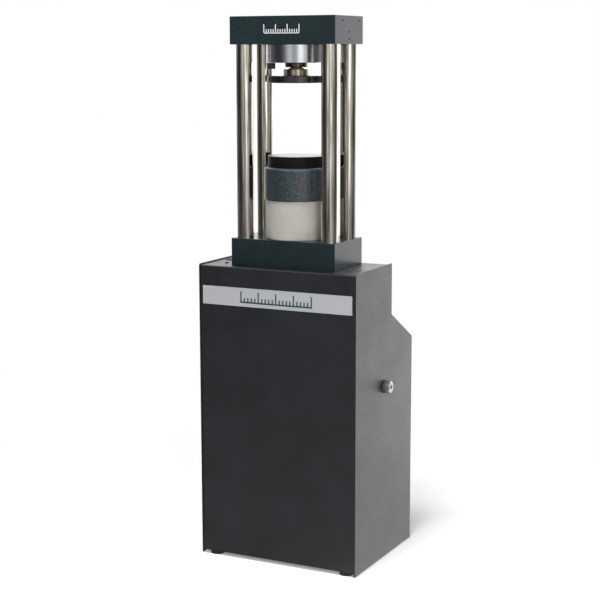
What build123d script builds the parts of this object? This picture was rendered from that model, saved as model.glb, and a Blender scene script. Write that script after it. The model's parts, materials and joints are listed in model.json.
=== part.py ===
from build123d import *
from math import cos, radians, sin, sqrt, tan
import os

os.makedirs("parts", exist_ok=True)

# A free-standing compression frame for cement and mortar specimens.
# A sheet cabinet carries a load frame of two blocks and four columns, with a hydraulic ram below
# and a ball-seated platen above.
# Millimetres, +Z up, front towards -Y, origin on the floor under the middle of the whole object.

# Cabinet
cabinet_depth = 330.0
cabinet_height = 715.0
shelf_margin = 70.0
shelf_drop = 122.0
slope_fall = 74.0
side_sheet = 3.0
side_ground_gap = 3.0
side_corner = 6.0
cover_sheet = 2.0
cover_ground_gap = 10.5
cover_recess = 1.5
rear_recess = 3.0
top_recess = 3.0
side_gap = 0.5
fold_radius = 3.0
rear_flange = 25.0
band_margin = 10.0
band_height = 44.0
band_drop = 51.0
band_sheet = 1.0
band_corner = 1.5
plug_inset = 24.0
plug_y = 113.0
plug_diameter = 27.0
plug_height = 1.5
cover_screw_inset = 44.0
cover_screw_y = 57.0
cover_thread = 5.0

# Feet, pan and inner frame
foot_diameter = 33.0
foot_height = 18.0
foot_inset_x = 31.5
foot_front_inset = 21.0
foot_rear_inset = 23.0
foot_taper = 1.0
foot_thread = 6.0
pan_sheet = 2.0
pan_flange = 27.0
tube_size = 30.0
tube_wall = 2.0
rear_tube_setback = 52.0
support_thickness = 12.0
well_diameter = 60.0

# Load frame
block_width = 270.0
block_depth = 150.0
block_height = 64.0
block_setback = 34.0
block_rear_margin = 19.0
block_edge = 1.0
column_diameter = 40.0
column_inset = 25.0
column_seat = 8.0
clear_height = 450.0
column_thread = 20.0
column_grip = 36.0
support_thread = 12.0
support_inset_x = 65.0
support_inset_y = 30.0
support_grip = 20.0
guard_thread = 5.0
guard_hole_depth = 8.0
guard_pair_front = 40.0
guard_pair_pitch = 88.0
guard_pair_drop = 11.5
guard_column_front = 75.0
guard_column_drop = 36.0
guard_column_pitch = 16.5

# Hydraulic ram
cylinder_diameter = 146.0
cylinder_height = 158.0
cylinder_floor = 24.0
cylinder_thread = 10.0
cylinder_circle_diameter = 90.0
cylinder_grip = 16.0
spigot_diameter = 60.0
spigot_height = 6.0
block_bore = 41.0
oil_way = 8.0
bore_diameter = 112.0
rod_diameter = 100.0
piston_height = 40.0
ram_travel = 50.0
stroke_reserve = 2.0
piston_floor_gap = 0.5
gland_diameter = 124.0
guide_height = 20.0
guide_wall = 3.0
guide_rise = 8.0
wiper_height = 7.0
wiper_wall = 5.0
seal_height = 9.0
seal_depth = 7.0
rod_stand = 10.0

# Lower platen and dust collar
lower_platen_diameter = 135.0
lower_platen_height = 26.0
platen_edge = 0.8
ring_mark_step = 12.5
ring_mark_width = 0.8
ring_mark_depth = 0.4
dowel_diameter = 10.0
dowel_length = 20.0
collar_height = 77.0
collar_wall = 2.5
collar_clearance = 1.0
collar_web = 4.0
collar_round = 6.0
collar_thread = 4.0
collar_grip = 8.0

# Ball seat and upper platen
seat_diameter = 140.0
seat_height = 42.0
seat_thread = 10.0
seat_circle_diameter = 108.0
seat_grip = 18.0
ball_diameter = 40.0
ball_rise = 12.0
liner_wall = 3.5
liner_lip = 1.5
nut_diameter = 52.5
nut_height = 10.0
nut_thread_diameter = 49.0
nut_thread_height = 8.0
nut_bore = 34.0
nut_relief = 0.3
stem_diameter = 25.0
stem_gap = 4.6
stem_foot_diameter = 40.0
stem_spigot_diameter = 24.0
stem_spigot_length = 8.0
hub_diameter = 60.0
hub_height = 15.0
hub_pocket_diameter = 31.0
hub_thread = 6.0
hub_circle_diameter = 47.0
hub_grip = 10.0
keeper_diameter = 29.0
keeper_head = 5.0
keeper_thread = 8.0
keeper_length = 16.0
upper_platen_diameter = 138.0
upper_platen_height = 16.0
stop_x = -51.6
stop_y = -26.1
stop_thread = 12.0
stop_head_diameter = 18.5
stop_head_height = 14.0
stop_grip = 18.0

# Hydraulic inlet and hose
port_inset = 35.0
port_drop = 291.4
port_washer_diameter = 31.0
port_washer_height = 6.0
port_hex = 27.0
port_corner = 29.4
port_bevel = 1.5
port_head = 9.4
port_ring_diameter = 17.0
port_ring_height = 1.0
port_shank = 20.0
port_shank_length = 27.0
port_socket = 9.2
port_socket_depth = 14.0
port_nut_height = 8.0
adapter_hex = 27.0
adapter_hex_height = 12.0
adapter_tube = 18.0
adapter_drop = 14.0
adapter_grip = 12.0
adapter_thread = 16.0
hose_diameter = 12.0
hose_nut_hex = 24.0
hose_nut_length = 16.0
ferrule_diameter = 19.0
ferrule_length = 30.0
hose_drop = 80.0
hose_lead = 68.0
hose_bow = Vector(-16, -4, -12)

# Shared fits and screw proportions
fit = 0.05
hole_play = 0.5
head_sink = 1.0
head_ratio = 1.5
button_head = 0.55
key_ratio = 0.83
socket_ratio = 0.6

# Places worked out from the sizes above
cabinet_width = block_width + 2 * shelf_margin
shelf_depth = block_setback + block_depth + block_rear_margin
slope_head = cabinet_height - shelf_drop
slope_foot = slope_head - slope_fall
band_bottom = cabinet_height - band_drop - band_height
port_y = shelf_depth - port_inset
port_z = cabinet_height - port_drop
column_pitch_x = block_width - 2 * column_inset
column_pitch_y = block_depth - 2 * column_inset
support_pitch_x = block_width - 2 * support_inset_x
support_pitch_y = block_depth - 2 * support_inset_y
mid_x = -(port_washer_height + port_head + port_ring_height) / 2
front_y = -cabinet_depth / 2
load_y = front_y + block_setback + block_depth / 2
inner_width = cabinet_width - 2 * side_sheet
cover_width = inner_width - 2 * side_gap
cover_top = cabinet_height - top_recess
cover_front = front_y + cover_recess
rear_face = front_y + shelf_depth - rear_recess
back_face = front_y + cabinet_depth - rear_recess
slope_grade = (slope_head - slope_foot) / (cabinet_depth - shelf_depth)
slope_length = sqrt(1 + slope_grade**2)
slope_cos = 1 / slope_length
slope_sin = slope_grade / slope_length
pan_front = cover_front + cover_sheet
pan_rear = back_face - cover_sheet
support_top = cover_top - cover_sheet
support_bottom = support_top - support_thickness
tube_x = inner_width / 2 - pan_sheet - tube_size / 2
plate_front = pan_front + pan_sheet
front_tube_y = plate_front + tube_size / 2
plate_rear = rear_face - cover_sheet
rear_tube_y = plate_rear - rear_tube_setback - tube_size / 2
base_top = cover_top + block_height
top_bottom = base_top + clear_height
top_top = top_bottom + block_height
cylinder_top = base_top + cylinder_height
piston_bottom = base_top + cylinder_floor + piston_floor_gap
piston_top = piston_bottom + piston_height
gland_bottom = piston_top + ram_travel + stroke_reserve
rod_top = cylinder_top + rod_stand
collar_inner = cylinder_diameter / 2 + collar_clearance
collar_outer = collar_inner + collar_wall
collar_bottom = rod_top - collar_height
collar_circle_diameter = (lower_platen_diameter + rod_diameter) / 2
seat_bottom = top_bottom - seat_height
ball_z = seat_bottom + ball_rise
ball_radius = ball_diameter / 2
liner_radius = ball_radius + liner_wall
nut_bottom = seat_bottom - nut_height
hub_top = nut_bottom - stem_gap
hub_bottom = hub_top - hub_height
upper_face = hub_bottom - upper_platen_height
port_face = mid_x + cabinet_width / 2
port_inner = port_face + port_washer_height - port_shank_length - side_sheet
adapter_top = base_top - spigot_height
adapter_bottom = support_bottom - adapter_drop


# Height of the rear cover's outer face above the slope, at a distance from the front.
def slope_z(y):
    return slope_head - rear_recess * slope_length - slope_grade * (y - front_y - shelf_depth)


# Horizontal sketch plane on the load axis.
def level(z):
    return Plane((mid_x, load_y, z))


# The same plane seen from below, with its normal down.
def under(z):
    return Plane((mid_x, load_y, z), x_dir=(1, 0, 0), z_dir=(0, 0, -1))


# Horizontal sketch plane in the middle of the cabinet.
def floor_plan(z):
    return Plane((mid_x, 0, z))


# Upright sketch plane through the cabinet from front to back.
def side_view(x):
    return Plane.YZ.offset(mid_x + x)


# Socket screws with their heads seated on the plane and their shanks along its normal.
def socket_screws(spots, thread, length, *seats, head_height=1.0):
    head_tops = [seat.offset(-thread * head_height) for seat in seats]
    with BuildPart() as screws:
        with BuildSketch(*seats):
            with Locations(*spots):
                Circle(thread / 2)
        extrude(amount=length)
        with BuildSketch(*seats):
            with Locations(*spots):
                Circle(thread * head_ratio / 2)
        extrude(amount=-thread * head_height)
        with BuildSketch(*head_tops):
            with Locations(*spots):
                RegularPolygon(thread * key_ratio / 2, 6, major_radius=False)
        extrude(amount=thread * head_height * socket_ratio, mode=Mode.SUBTRACT)
    return screws.part


# The four corners of a rectangle about a plane's origin.
def corners(pitch_x, pitch_y):
    return [(x * pitch_x / 2, y * pitch_y / 2) for x in (-1, 1) for y in (-1, 1)]


load_section = Plane(origin=(mid_x, load_y, 0), x_dir=(1, 0, 0), z_dir=(0, -1, 0))
load_axis = Axis((mid_x, load_y, 0), (0, 0, 1))
port_axis_plane = Plane(origin=(port_face, front_y + port_y, port_z), x_dir=(0, 1, 0), z_dir=(1, 0, 0))
port_inner_plane = port_axis_plane.offset(port_inner - port_face)
rear_screw_y = rear_face + rear_flange * slope_cos / 2
rear_screw_plane = Plane(
    (mid_x, rear_screw_y, slope_z(rear_screw_y)), x_dir=(1, 0, 0), z_dir=(0, slope_sin, slope_cos)
)
rear_low_plane = Plane((mid_x, back_face, foot_height + pan_flange / 2), x_dir=(1, 0, 0), z_dir=(0, 1, 0))
column_spots = corners(column_pitch_x, column_pitch_y)
support_spots = corners(support_pitch_x, support_pitch_y)
cylinder_spots = corners(cylinder_circle_diameter / sqrt(2), cylinder_circle_diameter / sqrt(2))
seat_spots = corners(seat_circle_diameter / sqrt(2), seat_circle_diameter / sqrt(2))
hub_spots = corners(hub_circle_diameter / sqrt(2), hub_circle_diameter / sqrt(2))
collar_spots = corners(collar_circle_diameter / sqrt(2), collar_circle_diameter / sqrt(2))
foot_x = cabinet_width / 2 - foot_inset_x
plug_x = -cabinet_width / 2 + plug_inset
cover_screw_x = cabinet_width / 2 - cover_screw_inset
foot_spots = [
    (x, y)
    for x in (-foot_x, foot_x)
    for y in (front_y + foot_front_inset, front_y + cabinet_depth - foot_rear_inset)
]
cover_screw_spots = [(x, front_y + cover_screw_y) for x in (-cover_screw_x, cover_screw_x)]

# Base pan: a folded tray that holds the feet, the uprights and the panels' lower edges.
with BuildPart() as base_pan:
    with BuildSketch(Plane((mid_x, (pan_front + pan_rear) / 2, foot_height))):
        Rectangle(inner_width, pan_rear - pan_front)
    extrude(amount=pan_flange)
    with BuildSketch(Plane((mid_x, (pan_front + pan_rear) / 2, foot_height + pan_sheet))):
        Rectangle(inner_width - 2 * pan_sheet, pan_rear - pan_front - 2 * pan_sheet)
    extrude(amount=pan_flange, mode=Mode.SUBTRACT)
    with Locations(floor_plan(foot_height + pan_sheet)):
        with Locations(*foot_spots):
            Hole(foot_thread / 2 + fit, depth=pan_sheet)
    with Locations(rear_low_plane):
        with Locations((-tube_x, 0), (tube_x, 0)):
            Hole(cover_thread / 2 + fit, depth=cover_sheet + pan_sheet)
base_pan.part.label = "base_pan"
export_step(base_pan.part, "parts/base_pan.step")

# Side panels: flat plates that stand a little proud of every cover.
for side, x in (("left", -cabinet_width / 2), ("right", cabinet_width / 2 - side_sheet)):
    with BuildPart() as side_panel:
        with BuildSketch(side_view(x)) as outline:
            with BuildLine():
                Polyline(
                    (front_y, side_ground_gap),
                    (front_y, cabinet_height),
                    (front_y + shelf_depth, cabinet_height),
                    (front_y + shelf_depth, slope_head),
                    (front_y + cabinet_depth, slope_foot),
                    (front_y + cabinet_depth, side_ground_gap),
                    close=True,
                )
            make_face()
            fillet(outline.vertices().sort_by(Axis.Y)[-2:].sort_by(Axis.X)[0], radius=side_corner)
            if side == "right":
                with Locations((front_y + port_y, port_z)):
                    Circle(port_shank / 2 + hole_play, mode=Mode.SUBTRACT)
        extrude(amount=side_sheet)
    side_panel.part.label = f"{side}_side_panel"
    export_step(side_panel.part, f"parts/{side}_side_panel.step")

# Front cover: one sheet folded over the top, where the base block stands on it.
with BuildPart() as front_cover:
    with BuildSketch(side_view(0)):
        with BuildLine() as front_fold:
            FilletPolyline(
                (cover_front, cover_ground_gap),
                (cover_front, cover_top),
                (plate_rear, cover_top),
                radius=fold_radius,
            )
            offset(amount=cover_sheet, side=Side.RIGHT)
        make_face()
    extrude(amount=cover_width / 2, both=True)
    with Locations(level(cover_top)):
        Hole(well_diameter / 2, depth=cover_sheet)
        with Locations(*support_spots):
            Hole(support_thread / 2 + hole_play, depth=cover_sheet)
    with Locations(floor_plan(cover_top)):
        with Locations(*cover_screw_spots):
            Hole(cover_thread / 2 + hole_play, depth=cover_sheet)
        with Locations((plug_x, front_y + plug_y)):
            Hole(plug_diameter / 2 - plug_height - fit, depth=cover_sheet)
front_cover.part.label = "front_cover"
export_step(front_cover.part, "parts/front_cover.step")

# Band across the front cover.
band_middle = band_bottom + band_height / 2
with BuildPart() as front_band:
    with BuildSketch(Plane((mid_x, cover_front, band_middle), x_dir=(1, 0, 0), z_dir=(0, -1, 0))):
        RectangleRounded(cabinet_width - 2 * band_margin, band_height, band_corner)
    extrude(amount=band_sheet)
front_band.part.label = "front_band"
export_step(front_band.part, "parts/front_band.step")

# Upper rear panel, with a flange under the head of the slope.
flange_z = slope_z(rear_face) - cover_sheet * slope_length
with BuildPart() as rear_upper_panel:
    with BuildSketch(side_view(0)):
        with BuildLine():
            FilletPolyline(
                (rear_face, cover_top),
                (rear_face, flange_z),
                (rear_face + rear_flange * slope_cos, flange_z - rear_flange * slope_sin),
                radius=fold_radius - cover_sheet,
            )
            offset(amount=cover_sheet, side=Side.RIGHT)
        make_face()
    extrude(amount=cover_width / 2, both=True)
    with Locations(rear_screw_plane):
        with Locations((-tube_x, 0), (tube_x, 0)):
            Hole(cover_thread / 2 + fit, depth=2 * cover_sheet)
rear_upper_panel.part.label = "rear_upper_panel"
export_step(rear_upper_panel.part, "parts/rear_upper_panel.step")

# Rear cover: one folded sheet over the slope and down the back, taken off by four screws.
slope_start = rear_face + cover_sheet * slope_sin + side_gap
with BuildPart() as rear_cover:
    with BuildSketch(side_view(0)):
        with BuildLine():
            FilletPolyline(
                (slope_start, slope_z(slope_start)),
                (back_face, slope_z(back_face)),
                (back_face, cover_ground_gap),
                radius=fold_radius,
            )
            offset(amount=cover_sheet, side=Side.RIGHT)
        make_face()
    extrude(amount=cover_width / 2, both=True)
    with Locations(rear_screw_plane, rear_low_plane):
        with Locations((-tube_x, 0), (tube_x, 0)):
            Hole(cover_thread / 2 + hole_play, depth=cover_sheet)
rear_cover.part.label = "rear_cover"
export_step(rear_cover.part, "parts/rear_cover.step")

rear_cover_screws = socket_screws(
    [(-tube_x, 0), (tube_x, 0)],
    cover_thread,
    rear_flange / 2,
    Plane(rear_screw_plane.origin, x_dir=(1, 0, 0), z_dir=-rear_screw_plane.z_dir),
    Plane(rear_low_plane.origin, x_dir=(1, 0, 0), z_dir=-rear_low_plane.z_dir),
    head_height=button_head,
)
rear_cover_screws.label = "rear_cover_screws"
export_step(rear_cover_screws, "parts/rear_cover_screws.step")

# Two screws hold the top of the front cover down on the support plate.
cover_screws = socket_screws(
    [(x, -y) for x, y in cover_screw_spots],
    cover_thread,
    cover_sheet + support_thickness,
    Plane((mid_x, 0, cover_top), x_dir=(1, 0, 0), z_dir=(0, 0, -1)),
    head_height=button_head,
)
cover_screws.label = "cover_screws"
export_step(cover_screws, "parts/cover_screws.step")

# Rubber plug in the cable hole beside the base block.
with BuildPart() as cable_hole_plug:
    with BuildSketch(Plane((mid_x + plug_x, front_y + plug_y, cover_top))):
        Circle(plug_diameter / 2)
    extrude(amount=plug_height)
    fillet(cable_hole_plug.edges().sort_by(Axis.Z)[-1], radius=plug_height / 2)
    with BuildSketch(Plane((mid_x + plug_x, front_y + plug_y, cover_top))):
        Circle(plug_diameter / 2 - plug_height - 2 * fit)
    extrude(amount=-cover_sheet - support_thickness / 2)
cable_hole_plug.part.label = "cable_hole_plug"
export_step(cable_hole_plug.part, "parts/cable_hole_plug.step")

# Rubber feet, each screwed up into the pan.
for (x, y), corner in zip(foot_spots, ("front_left", "rear_left", "front_right", "rear_right")):
    with BuildPart() as foot:
        with BuildSketch(Plane((mid_x + x, y, 0))):
            Circle(foot_diameter / 2)
        extrude(amount=foot_height, taper=-foot_taper)
        with Locations(Plane((mid_x + x, y, 0), x_dir=(1, 0, 0), z_dir=(0, 0, -1))):
            CounterBoreHole(foot_thread / 2 + fit, foot_thread * head_ratio / 2 + hole_play, foot_height / 2)
    foot.part.label = f"{corner}_foot"
    export_step(foot.part, f"parts/{corner}_foot.step")

foot_screws = socket_screws(foot_spots, foot_thread, foot_height / 2 + pan_sheet, floor_plan(foot_height / 2))
foot_screws.label = "foot_screws"
export_step(foot_screws, "parts/foot_screws.step")

# Inner frame: four square posts on the pan carry a ring of four rails under the support plate.
rail_z = support_bottom - tube_size / 2
rail_plane_x = Plane((mid_x, plate_front, rail_z), x_dir=(1, 0, 0), z_dir=(0, 1, 0))
rail_plane_y = Plane((mid_x, 0, rail_z), x_dir=(0, 1, 0), z_dir=(1, 0, 0))
for (x, y), corner in zip(
    ((-tube_x, front_tube_y), (-tube_x, rear_tube_y), (tube_x, front_tube_y), (tube_x, rear_tube_y)),
    ("front_left", "rear_left", "front_right", "rear_right"),
):
    with BuildPart() as upright:
        with BuildSketch(Plane((mid_x + x, y, foot_height + pan_sheet))):
            Rectangle(tube_size, tube_size)
            Rectangle(tube_size - 2 * tube_wall, tube_size - 2 * tube_wall, mode=Mode.SUBTRACT)
        extrude(amount=support_bottom - tube_size - foot_height - pan_sheet)
    upright.part.label = f"{corner}_upright"
    export_step(upright.part, f"parts/{corner}_upright.step")

for x, side in ((-tube_x, "left"), (tube_x, "right")):
    with BuildPart() as rail:
        with BuildSketch(rail_plane_x):
            with Locations((x, 0)):
                Rectangle(tube_size, tube_size)
                Rectangle(tube_size - 2 * tube_wall, tube_size - 2 * tube_wall, mode=Mode.SUBTRACT)
        extrude(amount=plate_rear - plate_front)
    rail.part.label = f"{side}_top_rail"
    export_step(rail.part, f"parts/{side}_top_rail.step")

for y, side in ((front_tube_y, "front"), (plate_rear - tube_size / 2, "rear")):
    with BuildPart() as rail:
        with BuildSketch(rail_plane_y):
            with Locations((y, 0)):
                Rectangle(tube_size, tube_size)
                Rectangle(tube_size - 2 * tube_wall, tube_size - 2 * tube_wall, mode=Mode.SUBTRACT)
        extrude(amount=tube_x - tube_size / 2, both=True)
    rail.part.label = f"{side}_top_rail"
    export_step(rail.part, f"parts/{side}_top_rail.step")

# Support plate under the cover's top, which carries the load frame.
with BuildPart() as support_plate:
    with BuildSketch(Plane((mid_x, (plate_front + plate_rear) / 2, support_bottom))):
        Rectangle(2 * tube_x + tube_size, plate_rear - plate_front)
    extrude(amount=support_thickness)
    with Locations(level(support_top)):
        Hole(well_diameter / 2)
        with Locations(*support_spots):
            Hole(support_thread / 2 + hole_play)
    with Locations(floor_plan(support_top)):
        with Locations(*cover_screw_spots):
            Hole(cover_thread / 2 + fit)
        with Locations((plug_x, front_y + plug_y)):
            Hole(plug_diameter / 2)
support_plate.part.label = "support_plate"
export_step(support_plate.part, "parts/support_plate.step")

support_screws = socket_screws(
    support_spots, support_thread, support_thickness + cover_sheet + support_grip, level(support_bottom)
)
support_screws.label = "support_screws"
export_step(support_screws, "parts/support_screws.step")

# Base block, with seats for the columns and the ram and counterbores for the screws from below.
column_head_depth = column_thread + head_sink
column_head_hole = column_thread * head_ratio / 2 + hole_play
cylinder_head_depth = cylinder_thread + head_sink
cylinder_head_hole = cylinder_thread * head_ratio / 2 + hole_play
with BuildPart() as base_block:
    with BuildSketch(level(cover_top)):
        Rectangle(block_width, block_depth)
    extrude(amount=block_height)
    fillet(base_block.edges(), radius=block_edge)
    with Locations(level(base_top)):
        with Locations(*column_spots):
            Hole(column_diameter / 2 + fit, depth=column_seat)
        Hole(spigot_diameter / 2 + fit, depth=spigot_height)
        Hole(block_bore / 2)
    with Locations(under(cover_top)):
        with Locations(*column_spots):
            CounterBoreHole(column_thread / 2 + hole_play, column_head_hole, column_head_depth)
        with Locations(*cylinder_spots):
            CounterBoreHole(cylinder_thread / 2 + hole_play, cylinder_head_hole, cylinder_head_depth)
        with Locations(*support_spots):
            Hole(support_thread / 2 + fit, depth=support_grip)
base_block.part.label = "base_block"
export_step(base_block.part, "parts/base_block.step")

# Columns, seated in both blocks and tapped at both ends.
for (x, y), corner in zip(column_spots, ("front_left", "rear_left", "front_right", "rear_right")):
    with BuildPart() as column:
        with BuildSketch(Plane((mid_x + x, load_y + y, base_top - column_seat))):
            Circle(column_diameter / 2)
        extrude(amount=clear_height + 2 * column_seat)
        chamfer(column.edges().filter_by(GeomType.CIRCLE), length=block_edge)
        with Locations(
            Plane((mid_x + x, load_y + y, top_bottom + column_seat)),
            Plane((mid_x + x, load_y + y, base_top - column_seat), x_dir=(1, 0, 0), z_dir=(0, 0, -1)),
        ):
            Hole(column_thread / 2 + fit, depth=column_grip + column_seat)
    column.part.label = f"{corner}_column"
    export_step(column.part, f"parts/{corner}_column.step")

column_screw_length = block_height - column_head_depth - column_seat + column_grip
lower_column_screws = socket_screws(
    column_spots, column_thread, column_screw_length, level(cover_top + column_head_depth)
)
lower_column_screws.label = "lower_column_screws"
export_step(lower_column_screws, "parts/lower_column_screws.step")

upper_column_screws = socket_screws(
    column_spots, column_thread, column_screw_length, under(top_top - column_head_depth)
)
upper_column_screws.label = "upper_column_screws"
export_step(upper_column_screws, "parts/upper_column_screws.step")

# Top block, with four tapped holes in its right face for a guard.
seat_head_depth = seat_thread + head_sink
seat_head_hole = seat_thread * head_ratio / 2 + hole_play
guard_plane = Plane(
    (mid_x + block_width / 2, load_y - block_depth / 2, top_top), x_dir=(0, 1, 0), z_dir=(1, 0, 0)
)
with BuildPart() as top_block:
    with BuildSketch(level(top_bottom)):
        Rectangle(block_width, block_depth)
    extrude(amount=block_height)
    fillet(top_block.edges(), radius=block_edge)
    with Locations(level(top_top)):
        with Locations(*column_spots):
            CounterBoreHole(column_thread / 2 + hole_play, column_head_hole, column_head_depth)
        with Locations(*seat_spots):
            CounterBoreHole(seat_thread / 2 + hole_play, seat_head_hole, seat_head_depth)
    with Locations(under(top_bottom)):
        with Locations(*column_spots):
            Hole(column_diameter / 2 + fit, depth=column_seat)
    with Locations(guard_plane):
        with Locations(
            (guard_pair_front, -guard_pair_drop),
            (guard_pair_front + guard_pair_pitch, -guard_pair_drop),
            (guard_column_front, -guard_column_drop),
            (guard_column_front, -guard_column_drop - guard_column_pitch),
        ):
            Hole(guard_thread / 2, depth=guard_hole_depth)
top_block.part.label = "top_block"
export_step(top_block.part, "parts/top_block.step")

# Ram cylinder: a deep cup spigoted into the base block, with the oil port through its floor.
with BuildPart() as ram_cylinder:
    with BuildSketch(level(base_top)):
        Circle(cylinder_diameter / 2)
    extrude(amount=cylinder_height)
    chamfer(ram_cylinder.edges().filter_by(GeomType.CIRCLE), length=block_edge)
    with BuildSketch(level(base_top)):
        Circle(spigot_diameter / 2)
    extrude(amount=-spigot_height)
    with Locations(level(cylinder_top)):
        Hole(bore_diameter / 2, depth=cylinder_height - cylinder_floor)
        Hole(gland_diameter / 2 + fit, depth=cylinder_top - gland_bottom)
        Hole(oil_way / 2, depth=cylinder_height + spigot_height)
    with Locations(under(adapter_top)):
        Hole(adapter_thread / 2 + fit, depth=adapter_grip)
    with Locations(under(base_top)):
        with Locations(*cylinder_spots):
            Hole(cylinder_thread / 2 + fit, depth=cylinder_grip)
ram_cylinder.part.label = "ram_cylinder"
export_step(ram_cylinder.part, "parts/ram_cylinder.step")

cylinder_screws = socket_screws(
    cylinder_spots,
    cylinder_thread,
    block_height - cylinder_head_depth + cylinder_grip - head_sink,
    level(cover_top + cylinder_head_depth),
)
cylinder_screws.label = "cylinder_screws"
export_step(cylinder_screws, "parts/cylinder_screws.step")

# Gland ring, screwed into the cylinder's mouth; its lower face stops the piston at full travel.
guide_bottom = gland_bottom + guide_rise
with BuildPart() as gland_ring:
    with BuildSketch(level(gland_bottom)):
        Circle(gland_diameter / 2)
        Circle(rod_diameter / 2 + 2 * fit, mode=Mode.SUBTRACT)
    extrude(amount=cylinder_top - gland_bottom)
    with BuildSketch(level(guide_bottom)):
        Circle(rod_diameter / 2 + guide_wall + fit)
    extrude(amount=guide_height, mode=Mode.SUBTRACT)
    with Locations(level(cylinder_top)):
        Hole(rod_diameter / 2 + wiper_wall + fit, depth=wiper_height)
gland_ring.part.label = "gland_ring"
export_step(gland_ring.part, "parts/gland_ring.step")

# Guide ring that the rod runs in.
with BuildPart() as guide_ring:
    with BuildSketch(level(guide_bottom)):
        Circle(rod_diameter / 2 + guide_wall)
        Circle(rod_diameter / 2 + fit, mode=Mode.SUBTRACT)
    extrude(amount=guide_height)
guide_ring.part.label = "guide_ring"
export_step(guide_ring.part, "parts/guide_ring.step")

# Wiper seal at the mouth of the gland.
with BuildPart() as wiper_seal:
    with BuildSketch(level(cylinder_top - wiper_height)):
        Circle(rod_diameter / 2 + wiper_wall)
        Circle(rod_diameter / 2 + 2 * fit, mode=Mode.SUBTRACT)
    extrude(amount=wiper_height)
    chamfer(wiper_seal.edges().sort_by(Axis.Z)[-1], length=wiper_wall / 3)
wiper_seal.part.label = "wiper_seal"
export_step(wiper_seal.part, "parts/wiper_seal.step")

# Piston and rod in one piece, with a groove for the seal and a hole for the platen's dowel.
seal_bottom = piston_bottom + (piston_height - seal_height) / 2
with BuildPart() as piston:
    with BuildSketch(level(piston_bottom)):
        Circle(bore_diameter / 2 - fit)
    extrude(amount=piston_height)
    chamfer(piston.edges().filter_by(GeomType.CIRCLE), length=block_edge)
    with BuildSketch(level(piston_top)):
        Circle(rod_diameter / 2)
    extrude(amount=rod_top - piston_top)
    with BuildSketch(level(seal_bottom)):
        Circle(bore_diameter / 2)
        Circle(bore_diameter / 2 - seal_depth, mode=Mode.SUBTRACT)
    extrude(amount=seal_height, mode=Mode.SUBTRACT)
    with Locations(level(rod_top)):
        Hole(dowel_diameter / 2 + fit, depth=dowel_length / 2)
piston.part.label = "piston"
export_step(piston.part, "parts/piston.step")

# Piston seal.
with BuildPart() as piston_seal:
    with BuildSketch(level(seal_bottom)):
        Circle(bore_diameter / 2 - fit)
        Circle(bore_diameter / 2 - seal_depth + fit, mode=Mode.SUBTRACT)
    extrude(amount=seal_height)
piston_seal.part.label = "piston_seal"
export_step(piston_seal.part, "parts/piston_seal.step")

# Lower platen, with centring rings cut in its ground face.
with BuildPart() as lower_platen:
    with BuildSketch(level(rod_top)):
        Circle(lower_platen_diameter / 2)
    extrude(amount=lower_platen_height)
    chamfer(lower_platen.edges(), length=platen_edge)
    with BuildSketch(level(rod_top + lower_platen_height)):
        for ring in (2, 3, 4):
            Circle(ring * ring_mark_step + ring_mark_width / 2)
            Circle(ring * ring_mark_step - ring_mark_width / 2, mode=Mode.SUBTRACT)
    extrude(amount=-ring_mark_depth, mode=Mode.SUBTRACT)
    with Locations(under(rod_top)):
        Hole(dowel_diameter / 2 + fit, depth=dowel_length / 2)
        with Locations(*collar_spots):
            Hole(collar_thread / 2 + fit, depth=collar_grip)
lower_platen.part.label = "lower_platen"
export_step(lower_platen.part, "parts/lower_platen.step")

# Dowel that centres the lower platen on the rod.
with BuildPart() as platen_dowel:
    with BuildSketch(level(rod_top)):
        Circle(dowel_diameter / 2)
    extrude(amount=dowel_length / 2 - head_sink, both=True)
platen_dowel.part.label = "platen_dowel"
export_step(platen_dowel.part, "parts/platen_dowel.step")

# Dust collar: a skirt that hangs from the platen and slides down over the cylinder.
with BuildPart() as dust_collar:
    with BuildSketch(level(collar_bottom)):
        Circle(collar_outer)
    extrude(amount=collar_height)
    fillet(dust_collar.edges().sort_by(Axis.Z)[-1], radius=collar_round)
    fillet(dust_collar.edges().sort_by(Axis.Z)[0], radius=collar_wall / 2)
    with BuildSketch(level(collar_bottom)):
        Circle(collar_inner)
    extrude(amount=collar_height - collar_web, mode=Mode.SUBTRACT)
    with Locations(level(rod_top)):
        Hole(rod_diameter / 2 + 2 * fit)
        with Locations(*collar_spots):
            Hole(collar_thread / 2 + hole_play)
dust_collar.part.label = "dust_collar"
export_step(dust_collar.part, "parts/dust_collar.step")

collar_screws = socket_screws(
    collar_spots, collar_thread, collar_web + collar_grip - head_sink, level(rod_top - collar_web)
)
collar_screws.label = "collar_screws"
export_step(collar_screws, "parts/collar_screws.step")

# Seat holder under the top block, hollowed for the liner and threaded for the nut.
ball_centre = (mid_x, load_y, ball_z)
with BuildPart() as seat_holder:
    with BuildSketch(level(seat_bottom)):
        Circle(seat_diameter / 2)
    extrude(amount=seat_height)
    chamfer(seat_holder.edges().filter_by(GeomType.CIRCLE), length=platen_edge)
    with BuildSketch(level(seat_bottom)):
        Circle(liner_radius + fit)
    extrude(amount=ball_rise, mode=Mode.SUBTRACT)
    with BuildSketch(level(seat_bottom)):
        Circle(nut_thread_diameter / 2 + fit)
    extrude(amount=nut_thread_height, mode=Mode.SUBTRACT)
    with Locations(ball_centre):
        Sphere(liner_radius + fit, mode=Mode.SUBTRACT)
    with Locations(level(top_bottom)):
        with Locations(*seat_spots):
            Hole(seat_thread / 2 + fit, depth=seat_grip)
    with Locations(under(seat_bottom)):
        with Locations((stop_x, -stop_y)):
            Hole(stop_thread / 2 + fit, depth=stop_grip)
seat_holder.part.label = "seat_holder"
export_step(seat_holder.part, "parts/seat_holder.step")

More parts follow.
